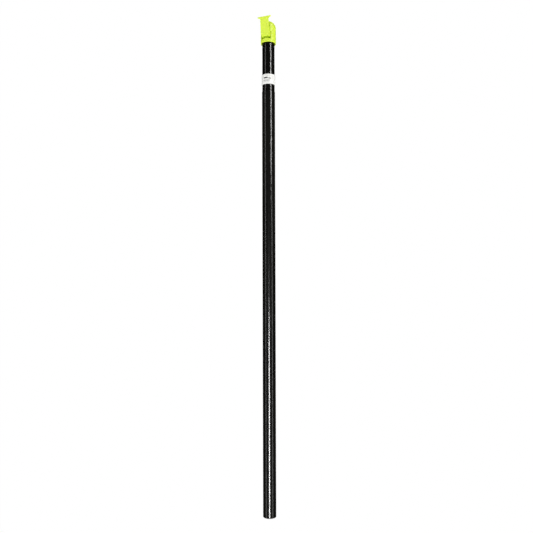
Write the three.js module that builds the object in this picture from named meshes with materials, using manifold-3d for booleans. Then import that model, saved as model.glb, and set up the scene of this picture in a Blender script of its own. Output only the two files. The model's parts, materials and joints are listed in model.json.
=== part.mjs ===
// Telescoping avalanche probe, stowed: five inner tubes in a gripped main tube, with a moulded
// locking head whose lever frees the inner tubes. Millimetres, +Z up the tube, lever facing -Y.
// The origin is the centre of the main tube's lower end.

import * as THREE from "three";
import { mergeVertices } from "three/addons/utils/BufferGeometryUtils.js";
import Module from "manifold-3d";

const wasm = await Module();
wasm.setup();

// Driving dimensions. Heights marked "above the collar" start at HEAD_Z.
const ROUND = 40; // sides of a turned part
const WALL = 0.4; // tube wall
const FIT = 0.08; // running clearance between two tubes
const GAP = 0.1; // clearance of a pressed or glued part
const MAIN_R = 6.35;
const HEAD_Z = 481.3; // lower edge of the head's collar
const NECK = 5.0; // length of the rolled-in lip at a tube's foot
const BELL = 38.0; // length of the flared top of an inner tube
const BELL_STEP = 0.8;

const GRIP_R = 6.69;
const GRIP_TOP = 431.7;
const LABEL_R = 6.95;
const LABEL_Z = [438.6, 448.7];

const HEAD_R = 7.75;
const SPIGOT_R = 5.6;
const SPIGOT_LOW = -18; // above the collar, so below it
const SKIRT_DEPTH = 2.0;
const MOUTH_R = 7.2; // recess round the tube at the collar's lower edge
const SHOULDER_Z = 16.05; // where the dome starts
const HEAD_TOP = 23.4;
const DOME = HEAD_TOP - SHOULDER_Z;
const FRONT_Y = -6.2; // flat behind the lever
const SILL_Z = 4.2; // collar's upper edge below the lever, which stops it when open
const SEAL_Z = -12;
const SCREW_Z = -8;

const PIN_Y = -4.4;
const PIN_Z = 8.0; // above the collar
const PIN_R = 0.8;
const PIN_X = [-6.0, 5.4]; // pressed in from -X, blind at +X
const HEEL_R = 2.7;
const LEVER_HALF = 4.7; // half the plate's width at its foot
const LEVER_TOP_HALF = 4.25;
const LEVER_FOOT = [-8.7, 5.6]; // outer lower edge of the plate: y, height above the collar
const LEVER_LENGTH = 18.9;
const LEVER_THICK = 2.0;
const LEVER_LEAN = 10; // degrees from upright
const THUMB_HALF = 7.05;
const THUMB_THICK = 1.2;
const SWEEP_R = 5.1; // room the plate's foot needs as it swings

const ROD_R = 1.2;
const ROD_HEAD_R = 1.6;
const ROD_TOP = 4.6;
const COLLET_R = 3.1;
const COLLET_LOW = -30.8;

// Inner stages from the widest to the narrowest: tube radius, foot, plug top, plug length, rim.
const STAGES = [
  { name: "stage_2", r: 5.65, foot: 1.0, top: 462.5, plug: 16, rim: 2.0 },
  { name: "stage_3", r: 5.0, foot: 1.6, top: 445.5, plug: 9, rim: 1.6 },
  { name: "stage_4", r: 4.35, foot: 2.2, top: 434.5, plug: 9, rim: 1.6 },
  { name: "stage_5", r: 3.7, foot: 2.8, top: 423.5, plug: 9, rim: 1.6 },
  { name: "stage_6", r: 3.05, foot: 14.3, top: 412.5, plug: 9, rim: 1.6 },
];
const CUP_R = 3.5;
const CUP_FLOOR = 448.0;
const TIP_SHOULDER = 14.2;

// A turned part from [radius, height] points that climb its outside and come back down its inside.
function turned(points, sides = ROUND) {
  const loop = points[0][0] === 0 ? points : [...points, points[0]];
  const profile = loop.map(([r, z]) => new THREE.Vector2(r, z));
  return new THREE.LatheGeometry(profile, sides).rotateX(Math.PI / 2);
}

// A plain round bar along Z.
function bar(radius, low, high, sides = 24) {
  return turned([[0, low], [radius, low], [radius, high], [0, high]], sides);
}

// A plain round bar along X, through the point (y, z).
function crossBar(radius, x0, x1, y, z, sides = 24) {
  return bar(radius, x0, x1, sides).rotateY(Math.PI / 2).translate(0, y, z);
}

function box(x, y, z) {
  const size = [x[1] - x[0], y[1] - y[0], z[1] - z[0]];
  const middle = [(x[0] + x[1]) / 2, (y[0] + y[1]) / 2, (z[0] + z[1]) / 2];
  return new THREE.BoxGeometry(...size).translate(...middle);
}

// An outline drawn across the lever's plate and up it, as thick as stated, flush with its outer face.
function plateShape(outline, thick) {
  const lean = (LEVER_LEAN * Math.PI) / 180;
  const up = new THREE.Vector3(0, -Math.sin(lean), Math.cos(lean));
  const out = new THREE.Vector3(0, -Math.cos(lean), -Math.sin(lean));
  const shape = new THREE.Shape(outline.map(([x, u]) => new THREE.Vector2(x, u)));
  const ease = 0.25;
  const geometry = new THREE.ExtrudeGeometry(shape, {
    depth: thick - 2 * ease,
    bevelThickness: ease,
    bevelSize: ease,
    bevelOffset: -ease,
    bevelSegments: 2,
  }).translate(0, 0, ease - thick);
  const foot = new THREE.Vector3(0, ...LEVER_FOOT);
  const place = new THREE.Matrix4().makeBasis(new THREE.Vector3(1, 0, 0), up, out);
  return geometry.applyMatrix4(place.setPosition(foot));
}

// An outline drawn in the YZ plane and extruded along X from -half to +half, its edges eased.
function slab(outline, half, ease) {
  const shape = new THREE.Shape(outline.map(([y, z]) => new THREE.Vector2(y, z)));
  const geometry = new THREE.ExtrudeGeometry(shape, {
    depth: 2 * (half - ease),
    bevelEnabled: ease > 0,
    bevelThickness: ease,
    bevelSize: ease,
    bevelOffset: -ease,
    bevelSegments: 2,
  });
  const axes = new THREE.Matrix4().makeBasis(
    new THREE.Vector3(0, 1, 0),
    new THREE.Vector3(0, 0, 1),
    new THREE.Vector3(1, 0, 0),
  );
  return geometry.translate(0, 0, ease - half).applyMatrix4(axes);
}

// Points on an arc of a circle, both ends included.
function arc(cx, cy, radius, from, to, steps) {
  const at = (i) => ((from + ((to - from) * i) / steps) * Math.PI) / 180;
  return Array.from({ length: steps + 1 }, (_, i) => [
    cx + radius * Math.cos(at(i)),
    cy + radius * Math.sin(at(i)),
  ]);
}

function solid(geometry) {
  const bare = geometry.clone();
  bare.deleteAttribute("normal");
  bare.deleteAttribute("uv");
  const merged = mergeVertices(bare, 1e-4);
  return new wasm.Manifold(
    new wasm.Mesh({
      numProp: 3,
      vertProperties: new Float32Array(merged.attributes.position.array),
      triVerts: new Uint32Array(merged.index.array),
    }),
  );
}

// Joins the first list of solids, then cuts the second list away.
function shaped(added, removed) {
  const whole = added.map(solid).reduce((a, b) => a.add(b));
  const cut = removed.map(solid).reduce((a, b) => a.subtract(b), whole);
  const mesh = cut.getMesh();
  const geometry = new THREE.BufferGeometry();
  geometry.setAttribute("position", new THREE.BufferAttribute(mesh.vertProperties, 3));
  geometry.setIndex(new THREE.BufferAttribute(mesh.triVerts, 1));
  geometry.computeVertexNormals();
  return geometry;
}

const root = new THREE.Group();
const LOOKS = {
  lime: { color: 0xd9ee5a, roughness: 0.4 },
  lacquer: { color: 0x0b0b0a, roughness: 0.22, metalness: 0.4 },
  sleeve: { color: 0x101010, roughness: 0.3 },
  label: { color: 0xf2f2ee, roughness: 0.5 },
  alloy: { color: 0x1c1c1e, roughness: 0.35, metalness: 0.7 },
  nylon: { color: 0x26272a, roughness: 0.6 },
  steel: { color: 0xb9bcc0, roughness: 0.3, metalness: 1.0 },
  seal: { color: 0x141414, roughness: 0.8 },
};

function place(name, look, geometry, lift = 0) {
  const mesh = new THREE.Mesh(geometry, new THREE.MeshStandardMaterial(LOOKS[look]));
  mesh.name = name;
  mesh.position.z = lift;
  root.add(mesh);
}

// Main tube: a lip at the foot keeps the second tube in, a hole near the top takes the head screw.
function mainTube() {
  const top = HEAD_Z + SKIRT_DEPTH - 0.15;
  const inner = MAIN_R - WALL;
  const lip = STAGES[0].r + FIT;
  const tube = turned([
    [lip, 0],
    [MAIN_R, 0],
    [MAIN_R, top],
    [inner, top],
    [inner, NECK + 0.3],
    [lip, NECK],
  ]);
  const hole = bar(1.0, 4, 9).rotateX(-Math.PI / 2).translate(0, 0, HEAD_Z + SCREW_Z);
  return shaped([tube], [hole]);
}

// Thin parts shrunk and stuck round the main tube.
function band(radius, low, high) {
  const inner = MAIN_R + GAP;
  return turned([
    [inner, low],
    [radius - 0.06, low],
    [radius, low + 0.12],
    [radius, high - 0.12],
    [radius - 0.06, high],
    [inner, high],
  ]);
}

// Head: collar, domed shoulder and a spigot down inside the tube, in one moulding.
function headBody() {
  const moulding = turned([
    [0, SPIGOT_LOW],
    [SPIGOT_R - 0.5, SPIGOT_LOW],
    [SPIGOT_R, SPIGOT_LOW + 0.5],
    [SPIGOT_R, SEAL_Z - 0.6],
    [4.8, SEAL_Z - 0.6],
    [4.8, SEAL_Z + 0.6],
    [SPIGOT_R, SEAL_Z + 0.6],
    [SPIGOT_R, SKIRT_DEPTH],
    [MAIN_R + 0.15, SKIRT_DEPTH],
    [MAIN_R + 0.15, 1.3],
    [MOUTH_R, 0.9],
    [MOUTH_R, 0],
    [HEAD_R - 0.2, 0],
    [HEAD_R, 0.2],
    ...arc(0, 0, 1, 0, 80, 8).map(([c, s]) => [HEAD_R * c, SHOULDER_Z + DOME * s]),
    [0, HEAD_TOP],
  ], 48);
  const x = LEVER_HALF + 0.25;
  const slotHalf = 2.4; // also the radius of the spring seat under the slot
  const slotBack = 2.35;
  const [slotFoot, slotTop] = [4.5, 13];
  const rodBore = 1.5;
  const neckBore = 2.65;
  const sweep = [...arc(PIN_Y, PIN_Z, SWEEP_R, 180, 280, 12), [PIN_Y, PIN_Z]];
  const cuts = [
    box([-9, 9], [-10, FRONT_Y], [PIN_Z, 26]), // flat behind the plate
    slab(sweep, x, 0), // room under the lever's foot
    box([-x, x], [-10, PIN_Y], [SILL_Z, PIN_Z]),
    crossBar(HEEL_R + 0.25, -x, x, PIN_Y, PIN_Z, 32), // round the heel
    box([-slotHalf, slotHalf], [PIN_Y, slotBack], [slotFoot, slotTop]), // slot for the cam nose
    crossBar(PIN_R + GAP, -9, PIN_X[1] + GAP, PIN_Y, PIN_Z),
    bar(rodBore, SPIGOT_LOW - 1, 0),
    bar(slotHalf, -7, 5, 28), // spring seat and room for the rod's head
    bar(neckBore, SPIGOT_LOW - 1, -13, 28), // collet neck
    bar(0.9, 3, 9, 20).rotateX(-Math.PI / 2).translate(0, 0, SCREW_Z),
  ];
  return shaped([moulding], cuts);
}

// Lever: heel round the pin, a plate that leans out to a thumb rim, and a cam nose over the rod.
function lockLever() {
  const plate = plateShape([
    [-LEVER_HALF + 0.5, 0],
    [LEVER_HALF - 0.5, 0],
    [LEVER_HALF, 0.5],
    [LEVER_TOP_HALF, LEVER_LENGTH],
    [-LEVER_TOP_HALF, LEVER_LENGTH],
    [-LEVER_HALF, 0.5],
  ], LEVER_THICK);
  const ears = [
    [THUMB_HALF, LEVER_LENGTH - 0.8],
    [THUMB_HALF, LEVER_LENGTH],
    [-THUMB_HALF, LEVER_LENGTH],
    [-THUMB_HALF, LEVER_LENGTH - 0.8],
    [-5.6, LEVER_LENGTH - 1.5],
    [-LEVER_TOP_HALF + 0.3, LEVER_LENGTH - 3],
    [LEVER_TOP_HALF - 0.3, LEVER_LENGTH - 3],
    [5.6, LEVER_LENGTH - 1.5],
  ];
  const heel = slab([
    ...arc(PIN_Y, PIN_Z, HEEL_R, -90, 140, 18),
    [-8.1, 9.9],
    [-8.0, 6.4],
    [-7.0, 5.9],
  ], LEVER_HALF - 0.1, 0.25);
  const nose = slab([
    [PIN_Y + 0.6, 8.6],
    [PIN_Y + 0.6, 4.9],
    [0.9, 4.9],
    [1.3, 5.3],
    [1.3, 6.6],
    [0.9, 7.0],
  ], 2.0, 0.15);
  const bore = crossBar(PIN_R + GAP, -9, 9, PIN_Y, PIN_Z);
  return shaped([plate, plateShape(ears, THUMB_THICK), heel, nose], [bore]);
}

// O-ring in the spigot's groove.
function headSeal() {
  return turned(arc(5.35, SEAL_Z, 0.45, 0, 360, 10).slice(0, -1));
}

// Low button screw at the back, through the tube wall into the spigot.
function headScrew() {
  return turned([
    [0, 3.4],
    [0.7, 3.4],
    [0.7, MAIN_R + GAP],
    [1.5, MAIN_R + GAP],
    [1.5, MAIN_R + 0.35],
    [1.1, MAIN_R + 0.65],
    [0.6, MAIN_R + 0.65],
    [0.6, MAIN_R + 0.2],
    [0, MAIN_R + 0.2],
  ], 24).rotateX(-Math.PI / 2).translate(0, 0, SCREW_Z);
}

// Push rod under the cam nose, with a thin tail for the cone.
function pushRod() {
  return turned([
    [0, -30.0],
    [0.7, -30.0],
    [0.7, -26.4],
    [ROD_R, -26.4],
    [ROD_R, ROD_TOP - 1.2],
    [ROD_HEAD_R, ROD_TOP - 1.2],
    [ROD_HEAD_R, ROD_TOP - 0.3],
    [ROD_HEAD_R - 0.3, ROD_TOP],
    [0, ROD_TOP],
  ], 24);
}

// Cone on the rod's tail: pushed down, it spreads the collet.
function expanderCone() {
  return turned([
    [0.8, -30.2],
    [1.15, -30.2],
    [2.0, -26.9],
    [2.0, -26.5],
    [0.8, -26.5],
  ], 24);
}

// Collet on the spigot: four fingers that grip the cup of the second tube's plug.
function expanderCollet() {
  const body = turned([
    [1.35, COLLET_LOW],
    [COLLET_R - 0.3, COLLET_LOW],
    [COLLET_R, COLLET_LOW + 0.3],
    [COLLET_R, SPIGOT_LOW - GAP],
    [2.55, SPIGOT_LOW - GAP],
    [2.55, -13.2],
    [1.5, -13.2],
    [1.5, -23.5],
    [2.2, -24.3],
    [2.2, -27.2],
  ], 28);
  const slit = [COLLET_LOW - 1, -21];
  return shaped([body], [
    box([-0.25, 0.25], [-4, 4], slit),
    box([-4, 4], [-0.25, 0.25], slit),
  ]);
}

// Spring round the rod, pushing its head up when the lever opens.
function rodSpring() {
  const low = -6.6;
  const high = ROD_TOP - 1.6;
  const turns = 7;
  const centre = Array.from({ length: turns * 12 + 1 }, (_, i) => {
    const a = (i / 12) * 2 * Math.PI;
    const z = low + ((high - low) * i) / (turns * 12);
    return new THREE.Vector3(1.75 * Math.cos(a), 1.75 * Math.sin(a), z);
  });
  const wire = new THREE.Shape(arc(0, 0, 0.25, 0, 360, 6).slice(0, -1).map(([a, b]) =>
    new THREE.Vector2(a, b)));
  return new THREE.ExtrudeGeometry(wire, {
    steps: turns * 12,
    bevelEnabled: false,
    extrudePath: new THREE.CatmullRomCurve3(centre),
  });
}

// Inner tube: a flared top that runs in the tube outside it, and a lip that keeps the next one in.
function stageTube(i) {
  const { r, foot, top, rim } = STAGES[i];
  const bell = outerBore(i) - FIT;
  const tubeTop = top - rim - GAP;
  const bellFoot = tubeTop - BELL;
  const lip = i < STAGES.length - 1 ? STAGES[i + 1].r + FIT : r - WALL;
  return turned([
    [lip, foot],
    [r, foot],
    [r, bellFoot],
    [bell, bellFoot + BELL_STEP],
    [bell, tubeTop],
    [bell - WALL, tubeTop],
    [bell - WALL, bellFoot + BELL_STEP],
    [r - WALL, bellFoot],
    [r - WALL, foot + NECK + 0.3],
    [lip, foot + NECK],
  ]);
}

// Plug in the top of an inner tube; the widest one has a cup for the collet.
function stagePlug(i) {
  const { top, plug, rim } = STAGES[i];
  const bell = outerBore(i) - FIT;
  const shank = bell - WALL - GAP;
  const low = top - plug;
  const outside = [
    [0, low],
    [shank - 0.4, low],
    [shank, low + 0.4],
    [shank, top - rim],
    [bell, top - rim],
    [bell, top - 0.3],
    [bell - 0.3, top],
  ];
  const inside = i === 0 ? [[CUP_R, top], [CUP_R, CUP_FLOOR]] : [[1.0, top], [1.0, top - 3]];
  return turned([...outside, ...inside, [0, inside[1][1]]], 32);
}

// The bore that inner tube i runs in.
function outerBore(i) {
  return (i === 0 ? MAIN_R : STAGES[i - 1].r) - WALL;
}

// Steel tip with a spigot up into the narrowest tube, held by a cross pin.
function probeTip() {
  const r = STAGES.at(-1).r;
  const shank = r - WALL - GAP;
  const body = turned([
    [0, 1.0],
    [0.55, 1.15],
    [0.9, 1.9],
    [r, 11.4],
    [r, TIP_SHOULDER],
    [shank, TIP_SHOULDER],
    [shank, 25.6],
    [shank - 0.4, 26],
    [0, 26],
  ], 32);
  return shaped([body], [crossBar(0.6, -4, 4, 0, 20, 16)]);
}

place("main_tube", "lacquer", mainTube());
place("grip_sleeve", "sleeve", band(GRIP_R, 0.4, GRIP_TOP));
place("label_band", "label", band(LABEL_R, ...LABEL_Z));
place("head_body", "lime", headBody(), HEAD_Z);
place("lock_lever", "lime", lockLever(), HEAD_Z);
place("lever_pin", "steel", crossBar(PIN_R, ...PIN_X, PIN_Y, PIN_Z), HEAD_Z);
place("head_seal", "seal", headSeal(), HEAD_Z);
place("head_screw", "steel", headScrew(), HEAD_Z);
place("push_rod", "steel", pushRod(), HEAD_Z);
place("expander_cone", "nylon", expanderCone(), HEAD_Z);
place("expander_collet", "nylon", expanderCollet(), HEAD_Z);
place("rod_spring", "steel", rodSpring(), HEAD_Z);

STAGES.forEach(({ name }, i) => {
  const last = i === STAGES.length - 1;
  const tube = last
    ? shaped([stageTube(i)], [crossBar(0.6, -4, 4, 0, 20, 16)])
    : stageTube(i);
  place(name + "_tube", "alloy", tube);
  place(name + "_plug", "nylon", stagePlug(i));
});
place("probe_tip", "steel", probeTip());
place("tip_pin", "steel", crossBar(0.5, -2.95, 2.95, 0, 20, 16));

export default root;
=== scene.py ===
import json
import math
import bmesh
import bpy
from mathutils import Matrix, Vector


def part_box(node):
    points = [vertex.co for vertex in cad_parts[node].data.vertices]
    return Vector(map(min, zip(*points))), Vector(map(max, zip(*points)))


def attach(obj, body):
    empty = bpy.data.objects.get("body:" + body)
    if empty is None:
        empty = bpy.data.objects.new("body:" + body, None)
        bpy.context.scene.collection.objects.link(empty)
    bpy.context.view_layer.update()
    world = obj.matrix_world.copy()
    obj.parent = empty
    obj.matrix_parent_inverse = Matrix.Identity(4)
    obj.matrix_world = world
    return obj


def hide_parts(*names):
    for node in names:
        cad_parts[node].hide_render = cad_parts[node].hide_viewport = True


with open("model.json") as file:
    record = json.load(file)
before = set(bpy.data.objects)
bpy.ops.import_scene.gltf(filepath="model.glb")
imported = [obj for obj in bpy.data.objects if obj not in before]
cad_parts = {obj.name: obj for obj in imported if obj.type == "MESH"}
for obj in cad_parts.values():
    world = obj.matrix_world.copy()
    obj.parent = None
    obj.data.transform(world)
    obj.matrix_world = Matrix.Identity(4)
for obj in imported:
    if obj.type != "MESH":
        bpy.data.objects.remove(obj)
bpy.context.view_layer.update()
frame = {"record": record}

MM = 0.001


# ---- Main tube ----------------------------------------------------------------------------------
# The outermost of six drawn aluminium tubes, black anodised and buffed to a gloss. Its foot is rolled
# in to keep the next tube from falling out, and a hole near the top takes the head's screw.

CREASE = math.radians(32)
TUBE_WALL = 0.4
LIP_LENGTH = 5.0  # how far up a foot is rolled in
FIT = 0.08  # the gap between one tube and the next
SECOND_RADIUS = 5.65
SCREW_HOLE = 1.0


def spans(node):
    """A turned node's outer radius, foot and top in millimetres."""
    low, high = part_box(node)
    return high.x / MM, low.z / MM, high.z / MM


def middle(node):
    """The centre of a node's box in millimetres."""
    low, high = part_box(node)
    return (low + high) / 2 / MM


def eased(outline, radius, steps=3):
    """The (radius, height) outline with each corner off the axis rounded by a short curve."""
    closed = outline[0][0] > 0
    points = [Vector(p) for p in outline]
    result = []
    for i, corner in enumerate(points):
        ends = not closed and i in (0, len(points) - 1)
        if ends:
            result.append(tuple(corner))
            continue
        before = points[i - 1] - corner
        after = points[(i + 1) % len(points)] - corner
        reach = min(radius, 0.45 * before.length, 0.45 * after.length)
        start = corner + before.normalized() * reach
        stop = corner + after.normalized() * reach
        for k in range(steps + 1):
            t = k / steps
            result.append(tuple(start * (1 - t) ** 2 + corner * 2 * t * (1 - t) + stop * t * t))
    return result


def shaded(piece):
    """Smooth shading, with sharp edges past the crease angle."""
    piece.data.shade_smooth()
    piece.data.set_sharp_from_angle(angle=CREASE)
    return piece


def mesh_object(name, mesh):
    """A bmesh as a new shaded object; frees the bmesh."""
    data = bpy.data.meshes.new(name)
    mesh.to_mesh(data)
    mesh.free()
    made = bpy.data.objects.new(name, data)
    bpy.context.collection.objects.link(made)
    return shaded(made)


def turned_mesh(outline, sides):
    """Turns an outline in millimetres that climbs the outside and comes down the inside."""
    mesh = bmesh.new()
    rings = []
    for radius, height in outline:
        count = sides if radius > 1e-6 else 1
        turn = 2 * math.pi / count
        rings.append([
            mesh.verts.new((
                radius * MM * math.cos(i * turn), radius * MM * math.sin(i * turn), height * MM,
            ))
            for i in range(count)
        ])
    following = rings[1:] + (rings[:1] if outline[0][0] > 1e-6 else [])
    for low, high in zip(rings, following):
        for i in range(sides):
            j = i + 1
            corners = [low[i % len(low)], low[j % len(low)], high[j % len(high)], high[i % len(high)]]
            corners = list(dict.fromkeys(corners))
            if len(corners) > 2:
                mesh.faces.new(corners)
    return mesh


def turned(name, outline, ease=0.12, sides=96):
    return mesh_object(name, turned_mesh(eased(outline, ease), sides))


def carved(piece, tool, operation):
    """One boolean, worked in millimetres so that it keeps its fine cuts; deletes the tool."""
    for solid in (piece, tool):
        solid.data.transform(Matrix.Scale(1 / MM, 4))
    step = piece.modifiers.new("step", "BOOLEAN")
    step.operation = operation
    step.solver = "MANIFOLD"
    step.object = tool
    baked(piece)
    piece.data.materials.clear()
    piece.data.transform(Matrix.Scale(MM, 4))
    bpy.data.objects.remove(tool)


def bored(piece, *tools):
    """Cuts each tool away from the piece."""
    for tool in tools:
        carved(piece, tool, "DIFFERENCE")
    return piece


def baked(piece):
    """Turns the piece's modifiers into plain mesh."""
    graph = bpy.context.evaluated_depsgraph_get()
    plain = bpy.data.meshes.new_from_object(piece.evaluated_get(graph))
    piece.modifiers.clear()
    piece.data = plain
    return piece


def bar(name, radius, low, high, along="Z", at=(0, 0, 0), sides=48):
    """A plain round bar in millimetres along one axis, through a point."""
    outline = [(0, low), (radius, low), (radius, high), (0, high)]
    made = mesh_object(name, turned_mesh(outline, sides))
    turns = {"X": Matrix.Rotation(math.pi / 2, 4, "Y"), "Y": Matrix.Rotation(-math.pi / 2, 4, "X")}
    place = Matrix.Translation(Vector(at) * MM)
    made.data.transform(place @ turns.get(along, Matrix.Identity(4)))
    return made


def linear(code):
    """An sRGB hex colour as linear RGBA."""
    parts = [int(code[i:i + 2], 16) / 255 for i in (1, 3, 5)]
    curve = [p / 12.92 if p <= 0.04045 else ((p + 0.055) / 1.055) ** 2.4 for p in parts]
    return (*curve, 1.0)


def add(tree, kind, settings=None, values=None, links=None):
    """Adds a node with its settings, its sockets' values, and links from other nodes' outputs."""
    made = tree.nodes.new(kind)
    for name, value in (settings or {}).items():
        setattr(made, name, value)
    for socket, value in (values or {}).items():
        made.inputs[socket].default_value = value
    for socket, source in (links or {}).items():
        tree.links.new(source, made.inputs[socket])
    return made


def finish(name, values):
    """A new material with the shader's constant sockets set; returns it, its tree and shader."""
    material = bpy.data.materials.new(name)
    material.use_nodes = True
    shader = material.node_tree.nodes["Principled BSDF"]
    for socket, value in values.items():
        shader.inputs[socket].default_value = value
    return material, material.node_tree, shader


def grained(tree, scale, stretch=(1, 1, 1), detail=3.0):
    """Noise on object coordinates: scale is grains per metre, stretch lengthens them."""
    place = add(tree, "ShaderNodeTexCoord")
    mapped = add(tree, "ShaderNodeMapping", links={"Vector": place.outputs["Object"]})
    mapped.inputs["Scale"].default_value = [1 / s for s in stretch]
    return add(
        tree, "ShaderNodeTexNoise", values={"Scale": scale, "Detail": detail},
        links={"Vector": mapped.outputs["Vector"]},
    )


def ranged(tree, source, low, high, start=0.3, stop=0.7):
    """Maps a grey value's middle stretch to the range low to high."""
    return add(
        tree, "ShaderNodeMapRange",
        values={"From Min": start, "From Max": stop, "To Min": low, "To Max": high},
        links={"Value": source},
    ).outputs["Result"]


def mixed(tree, factor, first, second):
    """A colour between two hex colours, by a grey value."""
    return add(
        tree, "ShaderNodeMix", {"data_type": "RGBA"},
        {6: linear(first), 7: linear(second)}, {0: factor},
    ).outputs[2]


def bumped(tree, shader, height, depth, strength=0.5):
    """Feeds a height pattern to the shader as bump of that depth in millimetres."""
    bump = add(
        tree, "ShaderNodeBump", values={"Strength": strength, "Distance": depth * MM},
        links={"Height": height},
    )
    tree.links.new(bump.outputs["Normal"], shader.inputs["Normal"])


def anodised_gloss():
    """Buffed black anodising: a hard, clear, near-black skin with drawing lines along the tube."""
    material, tree, shader = finish("Anodised Aluminium Gloss Black", {
        "Metallic": 0.35, "IOR": 1.5, "Coat Weight": 0.35, "Coat Roughness": 0.12,
    })
    drawn = grained(tree, 2600, (1, 1, 60))
    cloud = grained(tree, 60, (1, 1, 3))
    tint = mixed(tree, ranged(tree, cloud.outputs["Fac"], 0, 1), "#0D0C0B", "#151411")
    tree.links.new(tint, shader.inputs["Base Color"])
    tree.links.new(ranged(tree, drawn.outputs["Fac"], 0.17, 0.25), shader.inputs["Roughness"])
    bumped(tree, shader, drawn.outputs["Fac"], 0.002, 0.2)
    return material


tube_radius, tube_foot, tube_top = spans("main_tube")
bore_radius = tube_radius - TUBE_WALL
lip_radius = SECOND_RADIUS + FIT

main_tube = turned("main_tube_smooth", [
    (lip_radius, tube_foot),
    (tube_radius, tube_foot),
    (tube_radius, tube_top),
    (bore_radius, tube_top),
    (bore_radius, tube_foot + LIP_LENGTH + 0.5),
    (lip_radius, tube_foot + LIP_LENGTH),
], 0.15, 128)
screw_z = middle("head_screw").z
bored(main_tube, bar("screw_hole", SCREW_HOLE, 4, 9, "Y", (0, 0, screw_z)))
shaded(main_tube)
main_tube.data.materials.append(anodised_gloss())
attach(main_tube, "main")
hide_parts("main_tube")


# ---- Grip sleeve --------------------------------------------------------------------------------
# A black polyolefin sleeve shrunk on to the tube from just under the label to the foot, so cold gloves
# can hold it. Shrinking leaves it glossy, very slightly wavy, with a thin rounded edge at each end.

def shrink_film():
    """Shrunk polyolefin: glossy black film that waves a little where it cooled."""
    material, tree, shader = finish("Shrunk Polyolefin Gloss Black", {"IOR": 1.5})
    wave = grained(tree, 45, (1, 1, 5), 1.0)
    grain = grained(tree, 1500, (1, 1, 8))
    tint = mixed(tree, ranged(tree, wave.outputs["Fac"], 0, 1), "#0B0B0A", "#141310")
    tree.links.new(tint, shader.inputs["Base Color"])
    tree.links.new(ranged(tree, grain.outputs["Fac"], 0.16, 0.23), shader.inputs["Roughness"])
    bumped(tree, shader, grain.outputs["Fac"], 0.004, 0.3)
    return material


FILM_GAP = 0.02  # between the tube and whatever is wrapped round it
RIM_BEAD = 0.05
RIM_LENGTH = 1.4
sleeve_radius, sleeve_foot, sleeve_top = spans("grip_sleeve")
sleeve_bore = tube_radius + FILM_GAP

sleeve = turned("grip_sleeve_film", [
    (sleeve_bore, sleeve_foot),
    (sleeve_radius, sleeve_foot),
    (sleeve_radius - RIM_BEAD, sleeve_foot + RIM_LENGTH),
    (sleeve_radius - RIM_BEAD, sleeve_top - RIM_LENGTH),
    (sleeve_radius, sleeve_top - 0.5),
    (sleeve_radius - 0.1, sleeve_top),
    (sleeve_bore, sleeve_top),
], 0.2, 128)
sleeve.data.materials.append(shrink_film())
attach(sleeve, "main")
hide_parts("grip_sleeve")


# ---- Label --------------------------------------------------------------------------------------
# A white vinyl label wrapped once round the bare tube, its end lapped over its start at the back. It
# carries two plain printed bars over three fine rules, with a clear edge left all round.

LAP_TURN = 20
LAP_LIFT = 0.12
BAR_LIFT = 0.03


def wrapped(name, radius, lift, low, high, start, stop, step=3):
    """A patch curved round the tube: a thin closed plate, angles in degrees, heights in mm."""
    mesh = bmesh.new()
    count = max(2, round((stop - start) / step))
    columns = []
    for i in range(count + 1):
        a = math.radians(start + (stop - start) * i / count)
        columns.append([
            mesh.verts.new((r * MM * math.cos(a), r * MM * math.sin(a), z * MM))
            for r, z in ((radius, low), (radius + lift, low), (radius + lift, high), (radius, high))
        ])
    for a, b in zip(columns, columns[1:]):
        for i in range(4):
            j = (i + 1) % 4
            mesh.faces.new((a[i], b[i], b[j], a[j]))
    mesh.faces.new(columns[0])
    mesh.faces.new(reversed(columns[-1]))
    bmesh.ops.recalc_face_normals(mesh, faces=mesh.faces)
    return mesh_object(name, mesh)


def joined(name, parts):
    """Joins mesh objects into one."""
    mesh = bmesh.new()
    for part in parts:
        mesh.from_mesh(part.data)
        bpy.data.objects.remove(part)
    return mesh_object(name, mesh)


def label_vinyl():
    """White vinyl with a faint orange-peel surface, greyer where it has been handled."""
    material, tree, shader = finish("Label Vinyl White", {"IOR": 1.46})
    soil = grained(tree, 260, detail=4.0)
    peel = grained(tree, 2200)
    tint = mixed(tree, ranged(tree, soil.outputs["Fac"], 0, 1), "#FAFAF7", "#EEEEE9")
    tree.links.new(tint, shader.inputs["Base Color"])
    tree.links.new(ranged(tree, soil.outputs["Fac"], 0.32, 0.48), shader.inputs["Roughness"])
    bumped(tree, shader, peel.outputs["Fac"], 0.01, 0.3)
    return material


def screen_ink(name, code, roughness):
    """Screen ink: flat, slightly broken colour on the surface under it."""
    material, tree, shader = finish(name, {"IOR": 1.45, "Roughness": roughness})
    worn = grained(tree, 3000, detail=5.0)
    pale = "#" + "".join(f"{min(255, int(code[i:i + 2], 16) + 26):02X}" for i in (1, 3, 5))
    tint = mixed(tree, ranged(tree, worn.outputs["Fac"], 0, 1), code, pale)
    tree.links.new(tint, shader.inputs["Base Color"])
    bumped(tree, shader, worn.outputs["Fac"], 0.003, 0.3)
    return material


label_radius, label_low, label_high = spans("label_band")
label_film = turned("label_film", [
    (tube_radius + FILM_GAP, label_low),
    (label_radius - LAP_LIFT, label_low),
    (label_radius - LAP_LIFT, label_high),
    (tube_radius + FILM_GAP, label_high),
], 0.06, 128)
label_lap = wrapped(
    "label_lap", label_radius - LAP_LIFT - 0.02, LAP_LIFT, label_low, label_high,
    90, 90 + LAP_TURN,
)
label = joined("label_film_lapped", [label_film, label_lap])
label.data.materials.append(label_vinyl())
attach(label, "main")
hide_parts("label_band")

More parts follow.
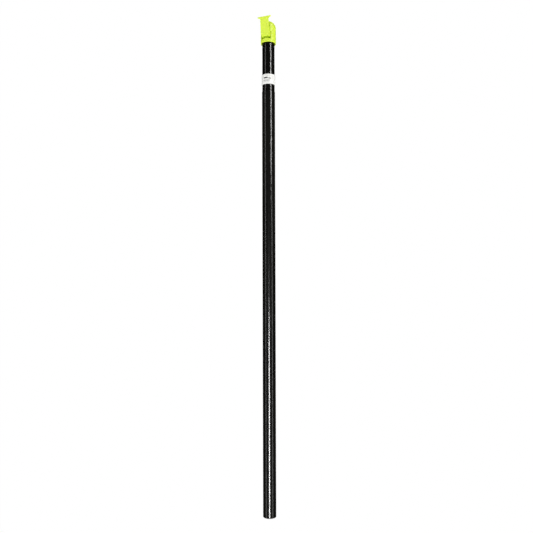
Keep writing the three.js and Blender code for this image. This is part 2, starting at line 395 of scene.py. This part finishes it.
label_face = label_radius - LAP_LIFT - 0.005
bars = []
for centre, width, height, rise in (
    (-94, 38, 1.2, 5.6), (-57, 24, 0.8, 5.2), (-84, 64, 0.22, 3.9), (-90, 48, 0.22, 3.2),
    (-84, 60, 0.22, 2.5),
):
    bars.append(wrapped(
        "bar", label_face, BAR_LIFT, label_low + rise, label_low + rise + height,
        centre - width / 2, centre + width / 2,
    ))
label_print = joined("label_bars", bars)
label_print.data.materials.append(screen_ink("Screen Ink Charcoal", "#2B2C2E", 0.5))
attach(label_print, "main")


# ---- Head ---------------------------------------------------------------------------------------
# One lime acetal moulding: a collar over the tube, a rounded cap, a spigot down the bore and a pocket
# for the lever, whose pin lies in its cheeks. A slanted step runs round it from the pocket's sill.

POCKET_GAP = 0.25
DOME_FOOT = 16.05
MOUTH_RADIUS = 7.2
HEAD_VOXEL = 0.2
STEP_DEPTH = 0.25
STEP_SLOPE = 1.36
COLLAR_LAP = 1.85  # how far the collar's lower edge is below the tube's top
LEVER_HALF = 4.7
HEEL_RADIUS = 2.7
FLAT_Y = -6.2
SWEEP = 5.1  # reach of the lever's foot from its pin
PIN_BORE = 0.86
SPIGOT_RADIUS = 5.6
SEAL_SEAT = 4.8
SEAT_RADIUS = 2.4  # the spring's seat, and half the width of the cam nose's slot


def block(name, x, y, z):
    """A box between limits in millimetres, for joining and cutting."""
    mesh = bmesh.new()
    bmesh.ops.create_cube(mesh, size=1)
    size = [(b - a) * MM for a, b in (x, y, z)]
    middle = [(a + b) / 2 * MM for a, b in (x, y, z)]
    mesh.transform(Matrix.Translation(middle) @ Matrix.Diagonal((*size, 1)))
    return mesh_object(name, mesh)


def fused(piece, *others):
    """Joins other solids to the piece."""
    for other in others:
        carved(piece, other, "UNION")
    return piece


def moulded(piece, voxel, rounds):
    """Softens every edge of a solid as a moulding's are: a fine even skin, then smoothed."""
    skin = piece.modifiers.new("skin", "REMESH")
    skin.mode = "VOXEL"
    skin.voxel_size = voxel * MM
    soft = piece.modifiers.new("soft", "SMOOTH")
    soft.factor = 0.5
    soft.iterations = rounds
    baked(piece)
    piece.data.shade_smooth()
    return piece


def lime_acetal():
    """Moulded lime acetal: waxy, a little translucent, a fine spark-eroded texture, pale at rubs."""
    material, tree, shader = finish("Moulded Acetal Lime", {
        "IOR": 1.48, "Subsurface Weight": 0.12, "Subsurface Scale": 0.6 * MM,
    })
    shader.inputs["Subsurface Radius"].default_value = (1.0, 1.0, 0.35)
    flow = grained(tree, 220, (1, 1, 2.5), 4.0)
    spark = grained(tree, 4200, detail=2.0)
    tint = mixed(tree, ranged(tree, flow.outputs["Fac"], 0, 1), "#D6F030", "#DCF240")
    tree.links.new(tint, shader.inputs["Base Color"])
    tree.links.new(ranged(tree, spark.outputs["Fac"], 0.4, 0.52), shader.inputs["Roughness"])
    bumped(tree, shader, spark.outputs["Fac"], 0.012, 0.35)
    return material


def slab(name, outline, half):
    """A solid with a (y, z) outline in millimetres, from -half to half along X."""
    mesh = bmesh.new()
    sides = [[mesh.verts.new((x * MM, y * MM, z * MM)) for y, z in outline] for x in (-half, half)]
    mesh.faces.new(sides[0])
    mesh.faces.new(reversed(sides[1]))
    for i in range(len(outline)):
        j = (i + 1) % len(outline)
        mesh.faces.new((sides[0][i], sides[0][j], sides[1][j], sides[1][i]))
    bmesh.ops.recalc_face_normals(mesh, faces=mesh.faces)
    return mesh_object(name, mesh)


def arc(cx, cy, radius, start, stop, steps):
    """Points on an arc, angles in degrees, both ends included."""
    turn = [math.radians(start + (stop - start) * i / steps) for i in range(steps + 1)]
    return [(cx + radius * math.cos(a), cy + radius * math.sin(a)) for a in turn]


def above(height):
    """A height in millimetres above the lower edge of the head's collar."""
    return tube_top - COLLAR_LAP + height


head_radius, spigot_foot, head_top = spans("head_body")
pin_low, pin_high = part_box("lever_pin")
_, pin_y, pin_z = middle("lever_pin")
sill = above(4.2)
pocket = LEVER_HALF + POCKET_GAP
dome = head_top - above(DOME_FOOT)

head = mesh_object("head_moulding", turned_mesh([
    (0, spigot_foot),
    (5.1, spigot_foot),
    (SPIGOT_RADIUS, spigot_foot + 0.5),
    (SPIGOT_RADIUS, above(-12.6)),
    (SEAL_SEAT, above(-12.6)),
    (SEAL_SEAT, above(-11.4)),
    (SPIGOT_RADIUS, above(-11.4)),
    (SPIGOT_RADIUS, above(2.0)),
    (6.5, above(2.0)),
    (6.5, above(1.3)),
    (MOUTH_RADIUS, above(0.9)),
    (MOUTH_RADIUS, above(0)),
    (head_radius - 0.15, above(0)),
    (head_radius, above(0.15)),
    *[(head_radius * c, above(DOME_FOOT) + dome * s) for c, s in arc(0, 0, 1, 0, 85, 17)],
    (0, head_top),
], 128))
step_ring = mesh_object("step_ring", turned_mesh([
    (head_radius - STEP_DEPTH, above(-2)), (9, above(-2)), (9, above(26)),
    (head_radius - STEP_DEPTH, above(26)),
], 128))
bored(step_ring, slab("below_step", [
    (-11, sill - STEP_SLOPE * (11 - head_radius)), (11, sill + STEP_SLOPE * (11 + head_radius)),
    (11, above(-9)), (-11, above(-9)),
], 11))
bored(
    head,
    step_ring,
    block("flat_behind_lever", (-9, 9), (-10, FLAT_Y), (pin_z - 0.2, head_top + 4)),
    slab("foot_sweep", [*arc(pin_y, pin_z, SWEEP, 180, 292, 28), (pin_y, pin_z)], pocket),
    block("foot_room", (-pocket, pocket), (-10, pin_y + 0.1), (sill, pin_z)),
    bar("heel_room", HEEL_RADIUS + POCKET_GAP, -pocket, pocket, "X", (0, pin_y, pin_z)),
    block("nose_slot", (-SEAT_RADIUS, SEAT_RADIUS), (pin_y, 2.35), (above(4.5), above(13))),
    bar("pin_hole", PIN_BORE, -9, pin_high.x / MM + 0.1, "X", (0, pin_y, pin_z)),
    bar("rod_bore", 1.5, spigot_foot - 1, above(0)),
    bar("spring_seat", SEAT_RADIUS, above(-7), above(5)),
    bar("collet_bore", 2.65, spigot_foot - 1, above(-13)),
    bar("screw_bore", 0.9, 3, 9, "Y", (0, 0, screw_z)),
)
moulded(head, HEAD_VOXEL, 2)
LIME = lime_acetal()
head.data.materials.append(LIME)
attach(head, "main")
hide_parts("head_body")


# ---- Locking lever ------------------------------------------------------------------------------
# The same lime acetal. A heel turns on the pin, a flat plate leans out to a straight thumb rim, and a
# cam nose inside presses the rod down while the lever is shut.

LEAN = math.radians(10)
LEVER_FOOT = (-8.7, above(5.6))
LEVER_LENGTH = 18.9
LEVER_VOXEL = 0.12


def leaned(name, rows):
    """A solid through rows of (half width, height up the plate, thickness back from its face)."""
    mesh = bmesh.new()
    rings = []
    for half, up, thick in rows:
        rings.append([
            mesh.verts.new(Vector((
                x,
                LEVER_FOOT[0] - up * math.sin(LEAN) + back * math.cos(LEAN),
                LEVER_FOOT[1] + up * math.cos(LEAN) + back * math.sin(LEAN),
            )) * MM)
            for x, back in ((-half, 0), (half, 0), (half, thick), (-half, thick))
        ])
    for low, high in zip(rings, rings[1:]):
        for i in range(4):
            j = (i + 1) % 4
            mesh.faces.new((low[i], low[j], high[j], high[i]))
    mesh.faces.new(rings[0])
    mesh.faces.new(rings[-1])
    bmesh.ops.recalc_face_normals(mesh, faces=mesh.faces)
    return mesh_object(name, mesh)


lever = leaned("lever_moulding", [
    (LEVER_HALF - 0.4, 0, 1.9),
    (LEVER_HALF, 0.4, 2.0),
    (LEVER_HALF - 0.1, 6, 1.9),
    (LEVER_HALF - 0.45, LEVER_LENGTH, 1.3),
])
thumb_rim = leaned("thumb_rim", [
    (4.0, LEVER_LENGTH - 3.4, 1.2),
    (4.5, LEVER_LENGTH - 2.4, 1.2),
    (5.4, LEVER_LENGTH - 1.6, 1.2),
    (6.9, LEVER_LENGTH - 1.0, 1.2),
    (7.05, LEVER_LENGTH - 0.7, 1.2),
    (7.05, LEVER_LENGTH, 1.2),
])
heel = slab("heel", [
    *arc(pin_y, pin_z, HEEL_RADIUS, -90, 140, 36),
    (-8.1, above(9.9)),
    (-8.0, above(6.3)),
    (-7.0, above(5.8)),
], LEVER_HALF - 0.1)
nose = slab("nose", [
    (pin_y + 0.6, above(8.6)),
    (pin_y + 0.6, above(4.9)),
    *arc(0.9, above(5.3), 0.4, -90, 0, 4),
    *arc(0.9, above(6.6), 0.4, 0, 90, 4),
], 2.0)
fused(lever, thumb_rim, heel, nose)
bored(lever, bar("lever_bore", PIN_BORE, -9, 9, "X", (0, pin_y, pin_z)))
moulded(lever, LEVER_VOXEL, 3)
lever.data.materials.append(LIME)
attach(lever, "lever")
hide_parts("lock_lever")


# ---- Hinge pin and head screw -------------------------------------------------------------------
# Turned stainless: a plain pin pressed in from the left cheek and blind in the right one, and a low
# button screw at the back, through the tube wall into the spigot. Both keep their turning marks.

def turned_steel():
    """Turned stainless: bright metal with fine rings from the tool."""
    material, tree, shader = finish("Turned Stainless Steel", {"Metallic": 1.0})
    rings = grained(tree, 5000, detail=2.0)
    tint = mixed(tree, ranged(tree, rings.outputs["Fac"], 0, 1), "#B4B6B8", "#CFD0D1")
    tree.links.new(tint, shader.inputs["Base Color"])
    tree.links.new(ranged(tree, rings.outputs["Fac"], 0.22, 0.36), shader.inputs["Roughness"])
    bumped(tree, shader, rings.outputs["Fac"], 0.004, 0.4)
    return material


STEEL = turned_steel()
pin_start, pin_stop = pin_low.x / MM, pin_high.x / MM
pin_radius = (pin_high.z - pin_low.z) / 2 / MM
pin = turned("hinge_pin", [
    (0, pin_start), (pin_radius, pin_start), (pin_radius, pin_stop), (0, pin_stop),
], 0.25, 48)
pin.data.transform(
    Matrix.Translation((0, pin_y * MM, pin_z * MM)) @ Matrix.Rotation(math.pi / 2, 4, "Y"))
pin.data.materials.append(STEEL)
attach(pin, "main")
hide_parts("lever_pin")

screw = turned("button_screw", [
    (0, 3.4), (0.7, 3.4), (0.7, 6.42), (1.5, 6.42), (1.45, 6.75), (1.1, 6.98), (0.6, 7.0),
    (0.6, 6.55), (0, 6.55),
], 0.08, 48)
screw.data.transform(
    Matrix.Translation((0, 0, screw_z * MM)) @ Matrix.Rotation(-math.pi / 2, 4, "X"))
screw.data.materials.append(STEEL)
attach(screw, "main")
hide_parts("head_screw")


# ---- Push rod, cone, collet and seal ------------------------------------------------------------
# The locking works inside the head. The steel rod's head sits under the cam nose; its tail carries a
# nylon cone that spreads a four-fingered nylon collet. A rubber ring seals the spigot in the tube.

def moulded_nylon():
    """Glass-filled black nylon: matte, with a dry, slightly fibrous skin."""
    material, tree, shader = finish("Moulded Nylon Black", {"IOR": 1.53})
    fibre = grained(tree, 1800, (1, 1, 4))
    tint = mixed(tree, ranged(tree, fibre.outputs["Fac"], 0, 1), "#1B1C1E", "#2A2B2E")
    tree.links.new(tint, shader.inputs["Base Color"])
    tree.links.new(ranged(tree, fibre.outputs["Fac"], 0.5, 0.68), shader.inputs["Roughness"])
    bumped(tree, shader, fibre.outputs["Fac"], 0.02, 0.4)
    return material


def seal_rubber():
    """Nitrile rubber: soft black with a faint bloom."""
    material, tree, shader = finish("Nitrile Rubber Black", {"IOR": 1.52})
    bloom = grained(tree, 900, detail=4.0)
    tint = mixed(tree, ranged(tree, bloom.outputs["Fac"], 0, 1), "#141414", "#232323")
    tree.links.new(tint, shader.inputs["Base Color"])
    tree.links.new(ranged(tree, bloom.outputs["Fac"], 0.6, 0.8), shader.inputs["Roughness"])
    return material


NYLON = moulded_nylon()
ROD_RADIUS = 1.2
ROD_TAIL = (0.7, 3.6)  # radius and length of the part that the cone sits on
ROD_HEAD_DEPTH = 1.2
COLLET_SLIT = 0.5
rod_head, rod_foot, rod_top = spans("push_rod")
rod_tail_top = rod_foot + ROD_TAIL[1]
rod_neck = rod_top - ROD_HEAD_DEPTH
rod = turned("push_rod_turned", [
    (0, rod_foot), (ROD_TAIL[0], rod_foot), (ROD_TAIL[0], rod_tail_top), (ROD_RADIUS, rod_tail_top),
    (ROD_RADIUS, rod_neck), (rod_head, rod_neck), (rod_head, rod_top), (0, rod_top),
], 0.25, 48)
rod.data.materials.append(STEEL)
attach(rod, "rod")
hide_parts("push_rod")

cone_radius, cone_foot, cone_top = spans("expander_cone")
cone_bore = ROD_TAIL[0] + 0.02
cone = turned("cone_moulding", [
    (cone_bore, cone_foot), (1.15, cone_foot), (cone_radius, cone_top - 0.4),
    (cone_radius, cone_top), (cone_bore, cone_top),
], 0.1, 64)
cone.data.materials.append(NYLON)
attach(cone, "rod")
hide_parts("expander_cone")

_, collet_foot, collet_top = spans("expander_collet")
collet = turned("collet_moulding", [
    (1.35, collet_foot), (3.1, collet_foot), (3.1, spigot_foot - 0.1), (2.6, spigot_foot - 0.1),
    (2.6, collet_top), (1.5, collet_top), (1.5, collet_foot + 7.3), (2.2, collet_foot + 6.5),
    (2.2, collet_foot + 3.6),
], 0.12, 64)
slit = (collet_foot - 1, collet_foot + 9.8)
bored(
    collet,
    block("slit_x", (-4, 4), (-COLLET_SLIT / 2, COLLET_SLIT / 2), slit),
    block("slit_y", (-COLLET_SLIT / 2, COLLET_SLIT / 2), (-4, 4), slit),
)
shaded(collet)
collet.data.materials.append(NYLON)
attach(collet, "main")
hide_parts("expander_collet")

SEAL_SIDES = 20
seal_section = arc(5.35, middle("head_seal").z, 0.45, 0, 360, SEAL_SIDES)[:-1]
seal = mesh_object("seal_ring", turned_mesh(seal_section, 96))
seal.data.materials.append(seal_rubber())
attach(seal, "main")
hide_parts("head_seal")


# ---- Rod spring ---------------------------------------------------------------------------------
# A compression spring of stainless wire round the push rod, seated in the head. It lifts the rod and
# frees the collet when the lever opens. The wire follows a plain helix of even pitch.

def new_tree(name, inputs):
    """A geometry tree with named number inputs and a mesh output; returns tree, inputs, output."""
    tree = bpy.data.node_groups.new(name, "GeometryNodeTree")
    for label, kind, value in inputs:
        socket = tree.interface.new_socket(label, in_out="INPUT", socket_type=kind)
        socket.default_value = value
    tree.interface.new_socket("Geometry", in_out="OUTPUT", socket_type="NodeSocketGeometry")
    return tree, add(tree, "NodeGroupInput").outputs, add(tree, "NodeGroupOutput")


def grown(name, tree, values):
    """Runs a geometry tree with these inputs and returns its result as a plain mesh object."""
    made = bpy.data.objects.new(name, bpy.data.meshes.new(name))
    bpy.context.collection.objects.link(made)
    modifier = made.modifiers.new("grow", "NODES")
    modifier.node_group = tree
    sockets = {s.name: s.identifier for s in tree.interface.items_tree if s.in_out == "INPUT"}
    for label, value in values.items():
        modifier[sockets[label]] = value
    return baked(made)


def coil_tree(material):
    tree, given, result = new_tree("Wire coil", [
        ("Turns", "NodeSocketFloat", 7.0),
        ("Radius", "NodeSocketFloat", 0.00175),
        ("Height", "NodeSocketFloat", 0.01),
        ("Wire Radius", "NodeSocketFloat", 0.00025),
    ])
    helix = add(tree, "GeometryNodeCurveSpiral", values={"Resolution": 40}, links={
        "Rotations": given["Turns"], "Start Radius": given["Radius"],
        "End Radius": given["Radius"], "Height": given["Height"],
    })
    section = add(
        tree, "GeometryNodeCurvePrimitiveCircle", values={"Resolution": 12},
        links={"Radius": given["Wire Radius"]},
    )
    wire = add(tree, "GeometryNodeCurveToMesh", values={"Fill Caps": True}, links={
        "Curve": helix.outputs["Curve"], "Profile Curve": section.outputs["Curve"],
    })
    smooth = add(tree, "GeometryNodeSetShadeSmooth", links={"Geometry": wire.outputs["Mesh"]})
    real = add(tree, "GeometryNodeRealizeInstances", links={"Geometry": smooth.outputs["Geometry"]})
    coated = add(
        tree, "GeometryNodeSetMaterial", values={"Material": material},
        links={"Geometry": real.outputs["Geometry"]},
    )
    tree.links.new(coated.outputs["Geometry"], result.inputs["Geometry"])
    return tree


WIRE = 0.25 * MM
COIL_RADIUS = 1.75 * MM
spring_low, spring_high = [corner.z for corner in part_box("rod_spring")]
spring = grown("spring_coil", coil_tree(STEEL), {
    "Turns": 7.0, "Radius": COIL_RADIUS, "Height": spring_high - spring_low - 2 * WIRE,
    "Wire Radius": WIRE,
})
spring.data.transform(Matrix.Translation((0, 0, spring_low + WIRE)))
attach(spring, "rod")
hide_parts("rod_spring")


# ---- Inner tubes --------------------------------------------------------------------------------
# Five thinner drawn tubes, satin black anodised, each flared at the top to run in the one outside it
# and rolled in at the foot to keep the next. A nylon plug closes each top.

BELL_LENGTH = 38.0
BELL_TAPER = 0.8
RADIUS_STEP = 0.65
CUP = (3.5, 14.5)  # radius and depth of the widest plug's cup
DIMPLE = (1.0, 3.0)  # the same of the hollow in the others
CROSS_HOLE = 0.52
PRESS_GAP = 0.03  # between a tube's bore and what is pressed into it


def anodised_satin():
    """Satin black anodising: even, finely drawn along the tube, softly metallic."""
    material, tree, shader = finish("Anodised Aluminium Satin Black", {"Metallic": 0.6})
    drawn = grained(tree, 2400, (1, 1, 50))
    tint = mixed(tree, ranged(tree, drawn.outputs["Fac"], 0, 1), "#1D1D1F", "#2C2C2F")
    tree.links.new(tint, shader.inputs["Base Color"])
    tree.links.new(ranged(tree, drawn.outputs["Fac"], 0.3, 0.42), shader.inputs["Roughness"])
    bumped(tree, shader, drawn.outputs["Fac"], 0.006, 0.4)
    return material


SATIN = anodised_satin()
stages = []
outer_bore = bore_radius
radius = SECOND_RADIUS
for number in range(2, 7):
    _, foot, top = spans(f"stage_{number}_tube")
    stages.append({
        "number": number, "radius": radius, "bore": radius - TUBE_WALL, "bell": outer_bore - FIT,
        "foot": foot, "top": top,
    })
    outer_bore = radius - TUBE_WALL
    radius -= RADIUS_STEP
for stage, inner in zip(stages, stages[1:] + [None]):
    foot, top, bell = stage["foot"], stage["top"], stage["bell"]
    bell_foot = top - BELL_LENGTH
    lip = inner["radius"] + FIT if inner else stage["bore"]
    tube = turned(f"stage_{stage['number']}_drawn", [
        (lip, foot),
        (stage["radius"], foot),
        (stage["radius"], bell_foot),
        (bell, bell_foot + BELL_TAPER),
        (bell, top),
        (bell - TUBE_WALL, top),
        (bell - TUBE_WALL, bell_foot + BELL_TAPER),
        (stage["bore"], bell_foot),
        (stage["bore"], foot + LIP_LENGTH + 0.3),
        (lip, foot + LIP_LENGTH),
    ], 0.12, 96)
    if inner is None:
        tip_pin_z = middle("tip_pin").z
        bored(tube, bar("tip_hole", CROSS_HOLE, -4, 4, "X", (0, 0, tip_pin_z)))
        shaded(tube)
    tube.data.materials.append(SATIN)
    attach(tube, f"stage_{stage['number']}")
    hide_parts(f"stage_{stage['number']}_tube")

    _, plug_low, plug_high = spans(f"stage_{stage['number']}_plug")
    rim = plug_high - top - 0.1
    shank = bell - TUBE_WALL - PRESS_GAP
    hollow_radius, hollow_depth = CUP if stage["number"] == 2 else DIMPLE
    hollow = [(hollow_radius, plug_high), (hollow_radius, plug_high - hollow_depth)]
    plug = turned(f"stage_{stage['number']}_plug_moulding", [
        (0, plug_low),
        (shank - 0.4, plug_low),
        (shank, plug_low + 0.4),
        (shank, plug_high - rim),
        (bell, plug_high - rim),
        (bell, plug_high),
        *hollow,
        (0, hollow[1][1]),
    ], 0.2, 72)
    plug.data.materials.append(NYLON)
    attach(plug, f"stage_{stage['number']}")
    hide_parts(f"stage_{stage['number']}_plug")


# ---- Depth marks --------------------------------------------------------------------------------
# Pale marks printed on the inner tubes, read once the probe is drawn: a tick at every centimetre of
# depth, a ring at every ten, and its number beside the ring. The ink stands clear of the tube's lips.

MARK_LIFT = 0.03
MARK_MARGIN = 14.0
TICK_PITCH = 10
RING_PITCH = 100
NUMBER_SIZE = 3.4
NUMBER_TURN = math.radians(-12)
NUMBER_RISE = 1.6  # from a ring to the foot of its number
SLICE = 0.5  # width of the strips that let a number bend


def marks_tree(material):
    tree, given, result = new_tree("Depth marks", [
        ("Radius", "NodeSocketFloat", 0.005),
        ("Lift", "NodeSocketFloat", MARK_LIFT * MM),
        ("First Tick", "NodeSocketFloat", 0.02),
        ("Ticks", "NodeSocketInt", 30),
        ("First Ring", "NodeSocketFloat", 0.05),
        ("Rings", "NodeSocketInt", 3),
    ])
    arc_path = add(
        tree, "GeometryNodeCurveArc",
        values={
            "Resolution": 12, "Start Angle": math.radians(-60), "Sweep Angle": math.radians(48),
        },
        links={"Radius": given["Radius"]},
    )
    ring_path = add(
        tree, "GeometryNodeCurvePrimitiveCircle", values={"Resolution": 64},
        links={"Radius": given["Radius"]},
    )
    thick = add(
        tree, "ShaderNodeMath", {"operation": "MULTIPLY"}, {1: 2.0}, {0: given["Lift"]},
    ).outputs["Value"]
    both = add(tree, "GeometryNodeJoinGeometry")
    for path, height, pitch, first, count in (
        (arc_path, 0.5 * MM, TICK_PITCH * MM, given["First Tick"], given["Ticks"]),
        (ring_path, 1.2 * MM, RING_PITCH * MM, given["First Ring"], given["Rings"]),
    ):
        section = add(
            tree, "GeometryNodeCurvePrimitiveQuadrilateral", values={"Height": height},
            links={"Width": thick},
        )
        mark = add(tree, "GeometryNodeCurveToMesh", values={"Fill Caps": True}, links={
            "Curve": path.outputs["Curve"], "Profile Curve": section.outputs["Curve"],
        })
        start = add(tree, "ShaderNodeCombineXYZ", links={"Z": first})
        rows = add(
            tree, "GeometryNodeMeshLine", values={"Offset": (0, 0, pitch)},
            links={"Count": count, "Start Location": start.outputs["Vector"]},
        )
        placed = add(tree, "GeometryNodeInstanceOnPoints", links={
            "Points": rows.outputs["Mesh"], "Instance": mark.outputs["Mesh"],
        })
        tree.links.new(placed.outputs["Instances"], both.inputs["Geometry"])
    real = add(tree, "GeometryNodeRealizeInstances", links={"Geometry": both.outputs["Geometry"]})
    coated = add(
        tree, "GeometryNodeSetMaterial", values={"Material": material},
        links={"Geometry": real.outputs["Geometry"]},
    )
    tree.links.new(coated.outputs["Geometry"], result.inputs["Geometry"])
    return tree


def number_on_tube(value, radius, height):
    """A depth number curved on to a tube, its foot at a height in millimetres."""
    curve = bpy.data.curves.new(f"depth_{value}", "FONT")
    curve.body = str(value)
    curve.size = NUMBER_SIZE
    curve.align_x = "CENTER"
    curve.extrude = MARK_LIFT
    flat = bpy.data.objects.new(f"depth_{value}", curve)
    bpy.context.collection.objects.link(flat)
    graph = bpy.context.evaluated_depsgraph_get()
    graph.update()
    text = bpy.data.meshes.new_from_object(flat.evaluated_get(graph))
    bpy.data.objects.remove(flat)
    mesh = bmesh.new()
    mesh.from_mesh(text)
    bmesh.ops.remove_doubles(mesh, verts=mesh.verts, dist=1e-4)
    for k in range(-8, 9):
        bmesh.ops.bisect_plane(
            mesh, geom=mesh.verts[:] + mesh.edges[:] + mesh.faces[:],
            plane_co=(k * SLICE, 0, 0), plane_no=(1, 0, 0),
        )
    for vert in mesh.verts:
        a = vert.co.x / radius - math.pi / 2 + NUMBER_TURN
        r = radius + vert.co.z
        vert.co = (r * MM * math.cos(a), r * MM * math.sin(a), (vert.co.y + height) * MM)
    return mesh_object(f"depth_{value}", mesh)


MARK_INK = screen_ink("Screen Ink Pale Grey", "#D9DAD6", 0.5)
marks = marks_tree(MARK_INK)
strokes = {
    joint["child"]: joint["range_m"][1] / MM
    for joint in frame["record"]["behaviour"]["joints"] if joint["child"].startswith("stage_")
}
tip_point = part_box("probe_tip")[0].z / MM
drawn_below = 0.0
for stage in reversed(stages):
    body = f"stage_{stage['number']}"
    offset = drawn_below - tip_point
    low = stage["foot"] + MARK_MARGIN
    high = stage["top"] - BELL_LENGTH - 4
    first_tick = math.ceil((low + offset) / TICK_PITCH) * TICK_PITCH - offset
    first_ring = math.ceil((low + offset) / RING_PITCH) * RING_PITCH - offset
    rings = max(0, math.floor((high - 8 - first_ring) / RING_PITCH) + 1)
    printed = grown(f"{body}_depth_marks", marks, {
        "Radius": stage["radius"] * MM,
        "Lift": MARK_LIFT * MM,
        "First Tick": first_tick * MM,
        "Ticks": math.floor((high - first_tick) / TICK_PITCH) + 1,
        "First Ring": first_ring * MM,
        "Rings": rings,
    })
    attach(printed, body)
    numbers = joined(f"{body}_depth_numbers", [
        number_on_tube(round((ring + offset) / 10), stage["radius"], ring + NUMBER_RISE)
        for ring in [first_ring + RING_PITCH * k for k in range(rings)]
    ])
    numbers.data.materials.append(MARK_INK)
    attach(numbers, body)
    drawn_below += strokes[body]


# ---- Tip ----------------------------------------------------------------------------------------
# A turned stainless point with a blunted end, its spigot pressed up into the thinnest tube and held
# by a cross pin.

tip_radius, tip_foot, tip_top = spans("probe_tip")
shoulder = tip_foot + 13.2
tip_shank = tip_radius - TUBE_WALL - PRESS_GAP
tip = turned("tip_turned", [
    (0, tip_foot), (0.55, tip_foot + 0.15), (0.9, tip_foot + 0.9), (tip_radius, tip_foot + 10.4),
    (tip_radius, shoulder), (tip_shank, shoulder), (tip_shank, tip_top - 0.4),
    (tip_shank - 0.4, tip_top), (0, tip_top),
], 0.15, 72)
bored(tip, bar("tip_cross_hole", CROSS_HOLE, -4, 4, "X", (0, 0, tip_pin_z)))
shaded(tip)
tip.data.materials.append(STEEL)
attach(tip, "stage_6")
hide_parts("probe_tip")

cross_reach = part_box("tip_pin")[1].x / MM
cross = turned("tip_cross_pin", [
    (0, -cross_reach), (0.5, -cross_reach), (0.5, cross_reach), (0, cross_reach),
], 0.12, 32)
cross.data.transform(
    Matrix.Translation((0, 0, tip_pin_z * MM)) @ Matrix.Rotation(math.pi / 2, 4, "Y"))
cross.data.materials.append(STEEL)
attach(cross, "stage_6")
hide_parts("tip_pin")


# ---- Studio -------------------------------------------------------------------------------------
# White floor and surround, tall soft strips that streak down the tube, and even fill for the head.

CAMERA_SIDE = 22.0  # degrees right of the lever's side
CLEAR_BELOW = 1.97  # metres, clear of the drawn probe
AIM = Vector((0, 0, 0.25))


def flat_white(name, code, glow):
    """Flat paint that also gives an even white light."""
    material, tree, shader = finish(name, {"Roughness": 0.9, "Emission Strength": glow})
    shader.inputs["Base Color"].default_value = linear(code)
    shader.inputs["Emission Color"].default_value = linear("#FFFFFF")
    return material


floor_mesh = bmesh.new()
bmesh.ops.create_circle(floor_mesh, cap_ends=True, segments=96, radius=2.2)
floor = mesh_object("floor", floor_mesh)
floor.data.transform(Matrix.Translation((0, 0, -CLEAR_BELOW)))
floor.data.materials.append(flat_white("Painted Floor White", "#F4F4F2", 2.0))
surround_mesh = bmesh.new()
bmesh.ops.create_icosphere(surround_mesh, subdivisions=4, radius=14)
bmesh.ops.reverse_faces(surround_mesh, faces=surround_mesh.faces)
surround = mesh_object("surround", surround_mesh)
surround.data.materials.append(flat_white("Studio Surround White", "#000000", 1.0))
for backdrop in (floor, surround):
    backdrop.visible_glossy = False
    backdrop.visible_shadow = False
surround.visible_diffuse = False


def strip(name, azimuth, distance, low, high, width, power, seen=True):
    """A tall soft light so many degrees right of the camera, facing the tube; metres and watts."""
    light = bpy.data.lights.new(name, "AREA")
    light.shape = "RECTANGLE"
    light.size = width
    light.size_y = high - low
    light.energy = power
    made = bpy.data.objects.new(name, light)
    a = math.radians(CAMERA_SIDE + azimuth)
    made.location = (distance * math.sin(a), -distance * math.cos(a), (low + high) / 2)
    made.rotation_mode = "QUATERNION"
    made.rotation_quaternion = Vector((made.location.x, made.location.y, 0)).to_track_quat("Z", "Y")
    made.visible_camera = False
    made.visible_glossy = seen
    made.visible_diffuse = not seen
    bpy.context.collection.objects.link(made)
    return made


strip("right_high_strip", 46, 0.8, 0.52, 1.25, 0.06, 5.6)
strip("right_low_strip", 57, 0.8, -0.5, 0.45, 0.1, 1.3)
strip("left_strip", -62, 0.8, -0.6, 1.3, 0.09, 2.2)
strip("low_front_strip", -1, 0.8, -0.45, 0.17, 0.06, 10.5)
strip("back_left_strip", -165, 0.8, -0.4, 1.2, 0.07, 0.6)
strip("back_right_strip", 168, 0.8, -0.2, 1.2, 0.05, 0.5)
strip("left_fill", -45, 1.6, -0.4, 1.8, 1.4, 12.5, seen=False)
strip("right_fill", 72, 1.6, -0.4, 1.8, 1.4, 13, seen=False)
strip("front_fill", 5, 1.8, -0.2, 1.4, 1.6, 8, seen=False)
strip("back_fill", 180, 1.8, -0.4, 1.6, 1.6, 11, seen=False)
top_fill = strip("top_fill", 110, 0.7, 1.1, 1.7, 0.8, 6, seen=False)
top_fill.rotation_quaternion = (top_fill.location - AIM).to_track_quat("Z", "Y")

world = bpy.data.worlds.new("Studio Air")
world.use_nodes = True
world.node_tree.nodes["Background"].inputs["Color"].default_value = linear("#FFFFFF")
world.node_tree.nodes["Background"].inputs["Strength"].default_value = 0.3
world.cycles_visibility.glossy = False
bpy.context.scene.world = world
bpy.context.scene.view_settings.view_transform = "Standard"


# ---- Camera -------------------------------------------------------------------------------------
# Nearly level, a little over a stowed length away, seeing the lever from its right.

LENS = 41.47
DISTANCE = 0.625
EYE_HEIGHT = 0.215
LOOK_UP = 1.25
SIDE_STEP = -2.6 * MM
ROLL = 0.155
FRAME_SHIFT = 0.045

camera = bpy.data.objects.new("camera", bpy.data.cameras.new("camera"))
camera.data.lens = LENS
camera.data.shift_y = FRAME_SHIFT
camera.data.clip_start = 0.01
camera.data.clip_end = 60
turn = Matrix.Rotation(math.radians(CAMERA_SIDE), 4, "Z")
tilt = Matrix.Rotation(math.radians(90 + LOOK_UP), 4, "X")
lean = Matrix.Rotation(math.radians(-ROLL), 4, "Z")
camera.matrix_world = turn @ Matrix.Translation((SIDE_STEP, -DISTANCE, EYE_HEIGHT)) @ tilt @ lean
bpy.context.collection.objects.link(camera)
bpy.context.scene.camera = camera
